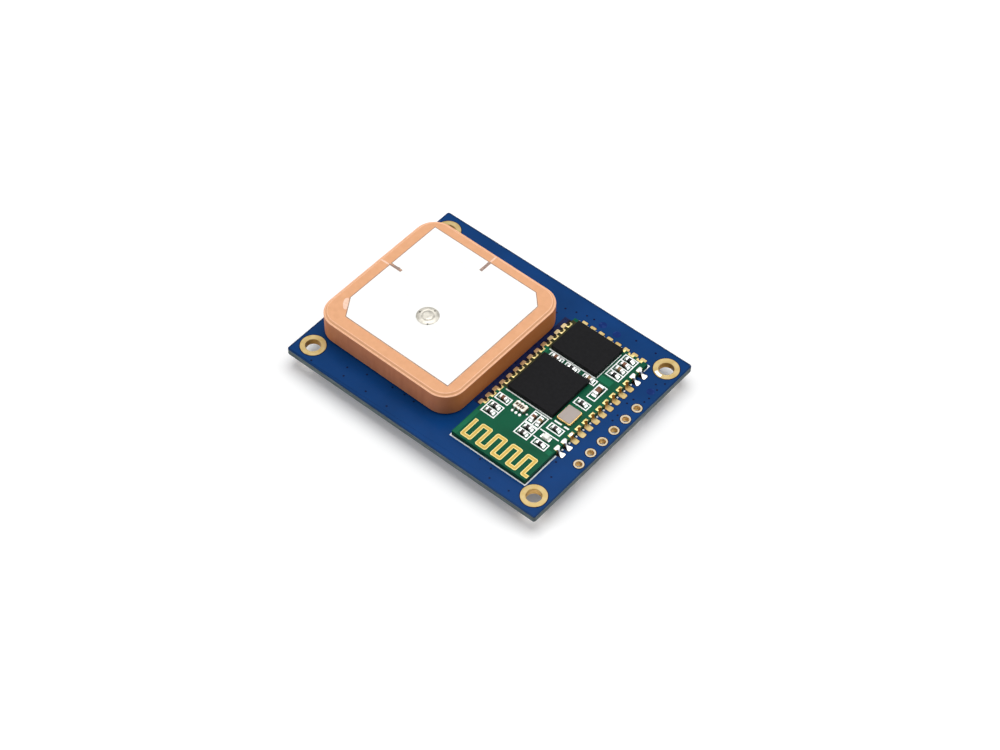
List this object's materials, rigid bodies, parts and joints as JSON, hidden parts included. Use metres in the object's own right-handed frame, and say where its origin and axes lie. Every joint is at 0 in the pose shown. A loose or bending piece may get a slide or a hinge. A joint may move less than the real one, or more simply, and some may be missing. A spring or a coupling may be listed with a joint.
{
  "type": "gps module",
  "caption": "Blue satellite positioning board with a square ceramic patch antenna, a soldered green radio board and a row of six header holes.",
  "frame": {"origin": "middle of the main board's outline, level with the flat face of the shield can below the board, on which the part rests", "axes": "+X along the board's long side from the antenna to the header holes; +Y along the short side, away from the radio board's trace antenna; +Z out of the antenna's face"},
  "size_m": [0.045, 0.0344, 0.0079],
  "materials": {
    "blue_mask": "satin solder mask",
    "green_mask": "satin solder mask",
    "receiver_mask": "satin solder mask",
    "tinned_copper": "bright tin over copper",
    "gold_plating": "thin gold over nickel",
    "solder": "solder",
    "fired_silver": "matt fired silver",
    "dielectric_ceramic": "unglazed",
    "tape": "matt",
    "chip_resin": "matt moulded resin",
    "trace_gold": "gold-plated copper trace",
    "white_ink": "matt ink",
    "crystal_ceramic": "matt",
    "gold_seal": "satin",
    "nickel_lid": "satin",
    "filter_ceramic": "satin",
    "capacitor_ceramic": "satin",
    "resistor_glaze": "gloss",
    "lamp_body": "matt",
    "lamp_resin": "clear resin",
    "shield_steel": "tinned steel sheet",
    "lead_tin": "matt tin"
  },
  "bodies": {
    "root": {"antenna_ceramic": "dielectric_ceramic", "antenna_electrode": "fired_silver", "antenna_ground": "fired_silver", "antenna_tape": "tape", "band_filter": "filter_ceramic", "band_filter_solder": "solder", "band_filter_terminals": "tinned_copper", "big_capacitor": "capacitor_ceramic", "big_capacitor_ends": "lead_tin", "board_silkscreen": "white_ink", "corner_hole_platings": "gold_plating", "crystal_base": "crystal_ceramic", "crystal_lid": "nickel_lid", "crystal_seal": "gold_seal", "feed_hole_plating": "gold_plating", "feed_pin": "tinned_copper", "feed_pin_tail_solder": "solder", "feed_pin_top_solder": "solder", "header_hole_platings": "gold_plating", "lamp_base": "lamp_body", "lamp_ends": "gold_plating", "lamp_lens": "lamp_resin", "main_board": "blue_mask", "memory_chip": "chip_resin", "radio_board": "green_mask", "radio_chip": "chip_resin", "radio_half_holes_end": "gold_plating", "radio_half_holes_left": "gold_plating", "radio_half_holes_right": "gold_plating", "radio_lands_end": "gold_plating", "radio_lands_left": "gold_plating", "radio_lands_right": "gold_plating", "radio_silkscreen": "white_ink", "radio_solder_joints": "solder", "receiver_board": "receiver_mask", "receiver_chip": "chip_resin", "receiver_crystal": "nickel_lid", "receiver_filter": "filter_ceramic", "receiver_lands": "tinned_copper", "receiver_shield": "shield_steel", "receiver_solder": "solder", "regulator_body": "chip_resin", "regulator_leads": "lead_tin", "small_capacitor_ends": "lead_tin", "small_capacitors": "capacitor_ceramic", "small_resistor_ends": "lead_tin", "small_resistors": "resistor_glaze", "supply_capacitor_ends": "lead_tin", "supply_capacitors": "capacitor_ceramic", "supply_resistor_ends": "lead_tin", "supply_resistors": "resistor_glaze", "trace_antenna": "trace_gold"}
  },
  "joints": []
}
